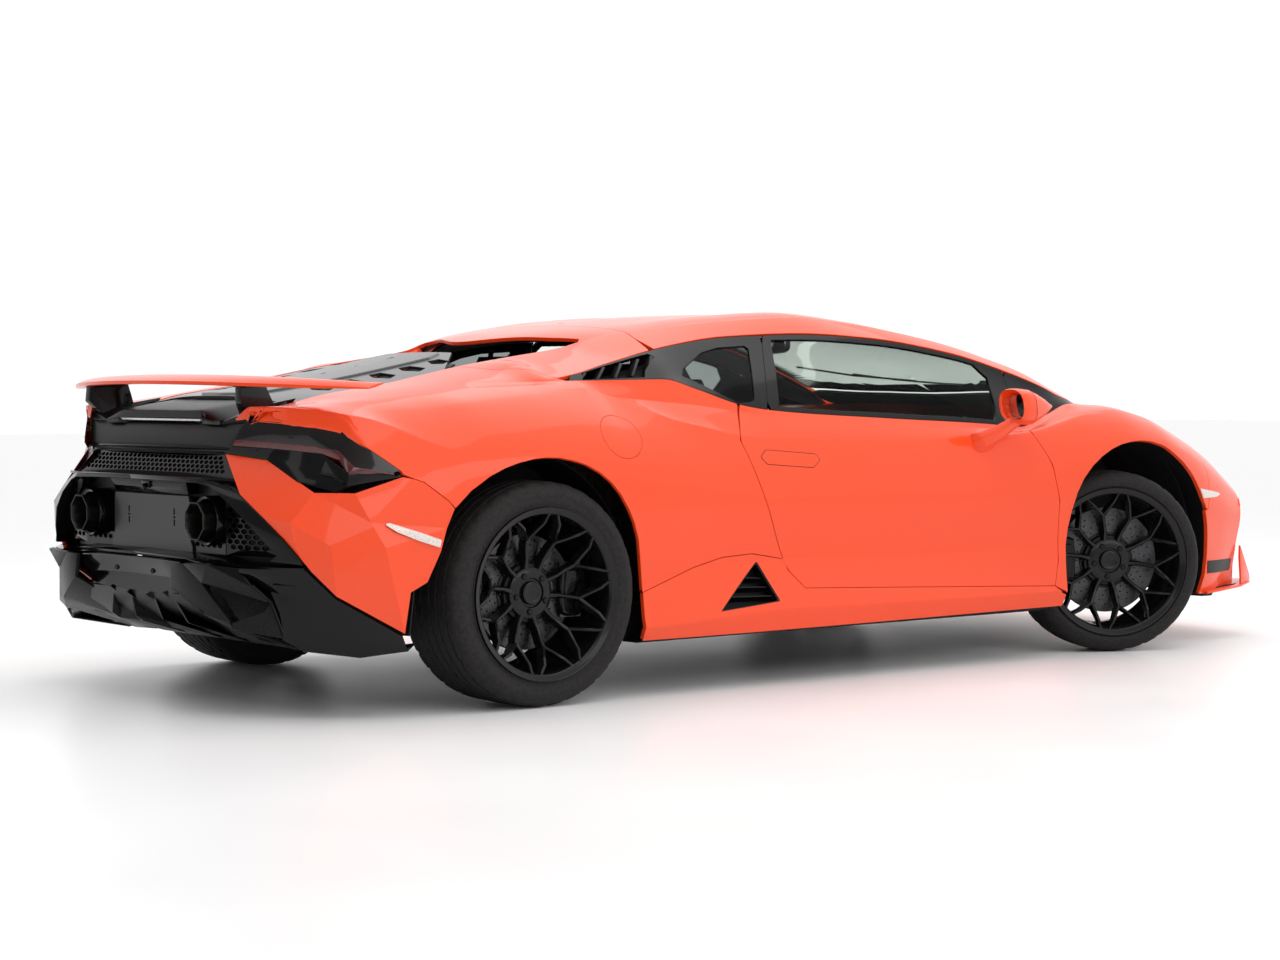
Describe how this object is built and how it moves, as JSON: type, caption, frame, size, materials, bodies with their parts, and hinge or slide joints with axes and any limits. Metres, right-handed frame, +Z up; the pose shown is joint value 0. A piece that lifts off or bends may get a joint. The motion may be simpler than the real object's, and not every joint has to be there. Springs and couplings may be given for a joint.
{
  "type": "mid-engined two-seat supercar",
  "caption": "Low wedge-shaped coupe with free-turning wheels, coupled steering, opening doors, hood, engine cover and fuel flap, and a hollow two-seat cabin.",
  "frame": {"origin": "on the ground under the centre of the car's bounding box", "axes": "+X towards the nose, +Y to the car's left, +Z up"},
  "size_m": [4.567, 2.236, 1.215],
  "materials": {
    "body_paint": "gloss",
    "black_trim": "gloss",
    "dark_plastic": "satin",
    "glass": "clear",
    "headlight": "clear",
    "tail_light": "clear",
    "chassis": "satin",
    "engine_metal": "satin",
    "steel": "satin",
    "wheel": "gloss",
    "tyre": "matte",
    "upholstery": "matte"
  },
  "bodies": {
    "root": {"dashboard": "dark_plastic", "engine": "engine_metal", "exhaust_tips": "steel", "floor_pan": "chassis", "front_bumper": "body_paint", "front_fender_left": "body_paint", "front_fender_right": "body_paint", "front_splitter": "black_trim", "front_suspension": "chassis", "front_trunk_tub": "dark_plastic", "headlights": "headlight", "quarter_windows": "glass", "rear_bulkhead": "chassis", "rear_bumper": "body_paint", "rear_deck": "body_paint", "rear_diffuser": "black_trim", "rear_fascia": "black_trim", "rear_knuckles": "chassis", "rear_quarter_left": "body_paint", "rear_quarter_right": "body_paint", "rear_suspension": "chassis", "rear_window": "glass", "rear_wing": "body_paint", "roof": "body_paint", "seats": "upholstery", "side_sills": "body_paint", "tail_lights": "tail_light", "wheel_arch_liners": "dark_plastic", "windscreen": "glass"},
    "knuckle_left": {"front_knuckle_left": "chassis"},
    "knuckle_right": {"front_knuckle_right": "chassis"},
    "front_wheel_left": {"tyre_front_left": "tyre", "wheel_front_left": "wheel"},
    "front_wheel_right": {"tyre_front_right": "tyre", "wheel_front_right": "wheel"},
    "rear_wheel_left": {"tyre_rear_left": "tyre", "wheel_rear_left": "wheel"},
    "rear_wheel_right": {"tyre_rear_right": "tyre", "wheel_rear_right": "wheel"},
    "door_left": {"door_left": "body_paint", "door_glass_left": "glass", "mirror_left": "body_paint"},
    "door_right": {"door_right": "body_paint", "door_glass_right": "glass", "mirror_right": "body_paint"},
    "hood": {"hood": "body_paint"},
    "engine_cover": {"engine_cover": "black_trim"},
    "fuel_flap": {"fuel_flap": "body_paint"},
    "steering_wheel": {"steering_wheel": "dark_plastic"}
  },
  "joints": [
    {"name": "steer_left", "type": "hinge", "parent": "root", "child": "knuckle_left", "pos_m": [1.2915, 0.8, 0.3275], "axis": [0, 0, 1], "range_deg": [-7, 63]},
    {"name": "steer_right", "type": "hinge", "parent": "root", "child": "knuckle_right", "pos_m": [1.2915, -0.8, 0.3275], "axis": [0, 0, 1], "range_deg": [-7, 63]},
    {"name": "front_wheel_left_spin", "type": "hinge", "parent": "knuckle_left", "child": "front_wheel_left", "pos_m": [1.30746, 0.83002, 0.3275], "axis": [0.4695, 0.8829, 0], "continuous": true},
    {"name": "front_wheel_right_spin", "type": "hinge", "parent": "knuckle_right", "child": "front_wheel_right", "pos_m": [1.27554, -0.83002, 0.3275], "axis": [0.4695, 0.8829, 0], "continuous": true},
    {"name": "rear_wheel_left_spin", "type": "hinge", "parent": "root", "child": "rear_wheel_left", "pos_m": [-1.3285, 0.81, 0.3455], "axis": [0, 1, 0], "continuous": true},
    {"name": "rear_wheel_right_spin", "type": "hinge", "parent": "root", "child": "rear_wheel_right", "pos_m": [-1.3285, -0.81, 0.3455], "axis": [0, 1, 0], "continuous": true},
    {"name": "door_left_hinge", "type": "hinge", "parent": "root", "child": "door_left", "pos_m": [0.9075, 0.945, 0.5], "axis": [0, 0, -1], "range_deg": [0, 65]},
    {"name": "door_right_hinge", "type": "hinge", "parent": "root", "child": "door_right", "pos_m": [0.9075, -0.945, 0.5], "axis": [0, 0, 1], "range_deg": [0, 65]},
    {"name": "hood_hinge", "type": "hinge", "parent": "root", "child": "hood", "pos_m": [1.1575, 0, 0.905], "axis": [0, -1, 0], "range_deg": [0, 60]},
    {"name": "engine_cover_hinge", "type": "hinge", "parent": "root", "child": "engine_cover", "pos_m": [-0.7745, 0, 1.156], "axis": [0, 1, 0], "range_deg": [0, 55]},
    {"name": "fuel_flap_hinge", "type": "hinge", "parent": "root", "child": "fuel_flap", "pos_m": [-0.9315, -0.918, 0.827], "axis": [0, 0.1961, 0.9806], "range_deg": [0, 85]},
    {"name": "steering_wheel_turn", "type": "hinge", "parent": "root", "child": "steering_wheel", "pos_m": [0.4265, 0.375, 0.735], "axis": [-0.9207, 0, 0.3903], "range_deg": [-84, 756]}
  ],
  "couplings": [
    {"joint": "steer_right", "follows": "steer_left", "ratio": 1},
    {"joint": "steering_wheel_turn", "follows": "steer_left", "ratio": 12}
  ]
}
